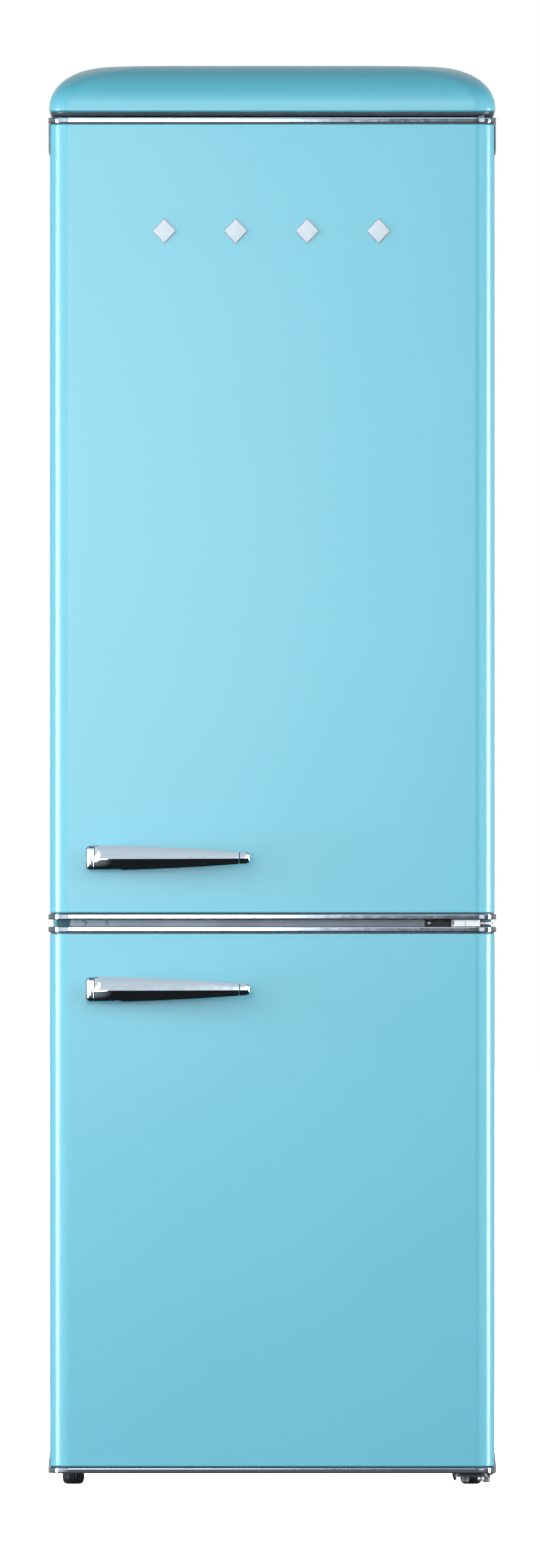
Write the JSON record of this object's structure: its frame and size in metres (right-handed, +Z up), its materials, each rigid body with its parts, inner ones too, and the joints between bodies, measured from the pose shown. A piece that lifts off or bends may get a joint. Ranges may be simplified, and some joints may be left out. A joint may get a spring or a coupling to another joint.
{
  "type": "retro bottom-freezer refrigerator",
  "caption": "Free-standing upright refrigerator with a domed roof: a tall fridge door above a shorter freezer door, chrome trims, tapered lever handles, shelves, bins and drawers inside.",
  "frame": {"origin": "on the floor under the centre of the object's box", "axes": "+X to the right seen from the front, the front faces -Y, +Z up"},
  "size_m": [0.552, 0.64, 1.75],
  "materials": {
    "enamel": "pale blue gloss enamel over sheet steel",
    "chrome_trim": "bright plated, polished",
    "silver": "satin silver",
    "white_plastic": "smooth white, vacuum-formed or moulded",
    "grey_plastic": "satin grey, moulded",
    "black_plastic": "matt black, moulded",
    "clear_plastic": "frosted clear, moulded",
    "shelf_glass": "clear toughened sheet",
    "insulation": "rigid polyurethane foam",
    "seal_rubber": "soft pale grey extrusion",
    "zinc_steel": "zinc-plated pressed sheet",
    "black_steel": "satin black",
    "aluminium": "mill finish"
  },
  "bodies": {
    "cabinet": {"cabinet_case": "enamel", "cabinet_insulation": "insulation", "fridge_liner": "white_plastic", "freezer_liner": "white_plastic", "mullion_cover": "grey_plastic", "back_panel": "zinc_steel", "base_plate": "zinc_steel", "roof_cover": "enamel", "roof_soffit": "black_plastic", "glass_shelf_1": "shelf_glass", "shelf_rail_1": "white_plastic", "glass_shelf_2": "shelf_glass", "shelf_rail_2": "white_plastic", "glass_shelf_3": "shelf_glass", "shelf_rail_3": "white_plastic", "crisper_cover": "shelf_glass", "control_box": "white_plastic", "lamp_lens": "clear_plastic", "air_duct": "white_plastic", "freezer_air_cover": "white_plastic", "evaporator": "aluminium", "compressor": "black_steel", "drip_tray": "black_plastic", "condenser": "black_steel", "mains_inlet": "black_plastic", "top_hinge": "zinc_steel", "middle_hinge": "zinc_steel", "middle_hinge_bush": "white_plastic", "bottom_hinge": "zinc_steel"},
    "upper_door": {"upper_door_skin": "enamel", "upper_door_insulation": "insulation", "upper_door_liner": "white_plastic", "upper_door_gasket": "seal_rubber", "upper_door_bottom_trim": "chrome_trim", "upper_door_top_trim": "chrome_trim", "upper_handle_mount": "chrome_trim", "upper_handle_lever": "chrome_trim", "door_bin_1": "clear_plastic", "door_bin_2": "clear_plastic", "door_bin_3": "clear_plastic", "badge": "silver"},
    "lower_door": {"lower_door_skin": "enamel", "lower_door_insulation": "insulation", "lower_door_liner": "white_plastic", "lower_door_gasket": "seal_rubber", "lower_door_bottom_trim": "chrome_trim", "lower_door_top_trim": "chrome_trim", "lower_handle_mount": "chrome_trim", "lower_handle_lever": "chrome_trim"},
    "crisper": {"crisper_drawer": "clear_plastic"},
    "freezer_drawer_a": {"freezer_drawer_top": "clear_plastic"},
    "freezer_drawer_b": {"freezer_drawer_middle": "clear_plastic"},
    "freezer_drawer_c": {"freezer_drawer_bottom": "clear_plastic"},
    "fan": {"evaporator_fan": "black_plastic"},
    "knob": {"thermostat_knob": "grey_plastic"},
    "plunger": {"light_switch_plunger": "white_plastic"},
    "left_foot": {"left_levelling_foot": "black_plastic"},
    "right_foot": {"right_levelling_foot": "black_plastic"},
    "left_roller": {"left_rear_roller": "black_plastic"},
    "right_roller": {"right_rear_roller": "black_plastic"}
  },
  "joints": [
    {"name": "upper_door_hinge", "type": "hinge", "parent": "cabinet", "child": "upper_door", "pos_m": [0.257, -0.25, 1.19], "axis": [0, 0, 1], "range_deg": [0, 135]},
    {"name": "lower_door_hinge", "type": "hinge", "parent": "cabinet", "child": "lower_door", "pos_m": [0.257, -0.25, 0.35], "axis": [0, 0, 1], "range_deg": [0, 135]},
    {"name": "crisper_slide", "type": "slide", "parent": "cabinet", "child": "crisper", "axis": [0, -1, 0], "range_m": [0, 0.236]},
    {"name": "freezer_drawer_top_slide", "type": "slide", "parent": "cabinet", "child": "freezer_drawer_a", "axis": [0, -1, 0], "range_m": [0, 0.156]},
    {"name": "freezer_drawer_middle_slide", "type": "slide", "parent": "cabinet", "child": "freezer_drawer_b", "axis": [0, -1, 0], "range_m": [0, 0.156]},
    {"name": "freezer_drawer_bottom_slide", "type": "slide", "parent": "cabinet", "child": "freezer_drawer_c", "axis": [0, -1, 0], "range_m": [0, 0.156]},
    {"name": "light_switch_slide", "type": "slide", "parent": "cabinet", "child": "plunger", "axis": [0, -1, 0], "range_m": [0, 0.0062]},
    {"name": "thermostat_turn", "type": "hinge", "parent": "cabinet", "child": "knob", "pos_m": [0.06, -0.198, 1.62385], "axis": [0, -1, 0], "range_deg": [0, 270]},
    {"name": "evaporator_fan_spin", "type": "hinge", "parent": "cabinet", "child": "fan", "pos_m": [0, 0.168, 0.59], "axis": [0, 1, 0], "continuous": true},
    {"name": "left_foot_turn", "type": "hinge", "parent": "cabinet", "child": "left_foot", "pos_m": [-0.2455, -0.167, 0], "axis": [0, 0, 1], "continuous": true},
    {"name": "right_foot_turn", "type": "hinge", "parent": "cabinet", "child": "right_foot", "pos_m": [0.2455, -0.167, 0], "axis": [0, 0, 1], "continuous": true},
    {"name": "left_roller_spin", "type": "hinge", "parent": "cabinet", "child": "left_roller", "pos_m": [-0.2455, 0.255, 0.018], "axis": [1, 0, 0], "continuous": true},
    {"name": "right_roller_spin", "type": "hinge", "parent": "cabinet", "child": "right_roller", "pos_m": [0.2455, 0.255, 0.018], "axis": [1, 0, 0], "continuous": true}
  ],
  "couplings": [
    {"joint": "crisper_slide", "follows": "upper_door_hinge", "m_per_rad": 0.1},
    {"joint": "light_switch_slide", "follows": "upper_door_hinge", "m_per_rad": 0.0026},
    {"joint": "freezer_drawer_top_slide", "follows": "lower_door_hinge", "m_per_rad": 0.066},
    {"joint": "freezer_drawer_middle_slide", "follows": "lower_door_hinge", "m_per_rad": 0.066},
    {"joint": "freezer_drawer_bottom_slide", "follows": "lower_door_hinge", "m_per_rad": 0.066}
  ]
}
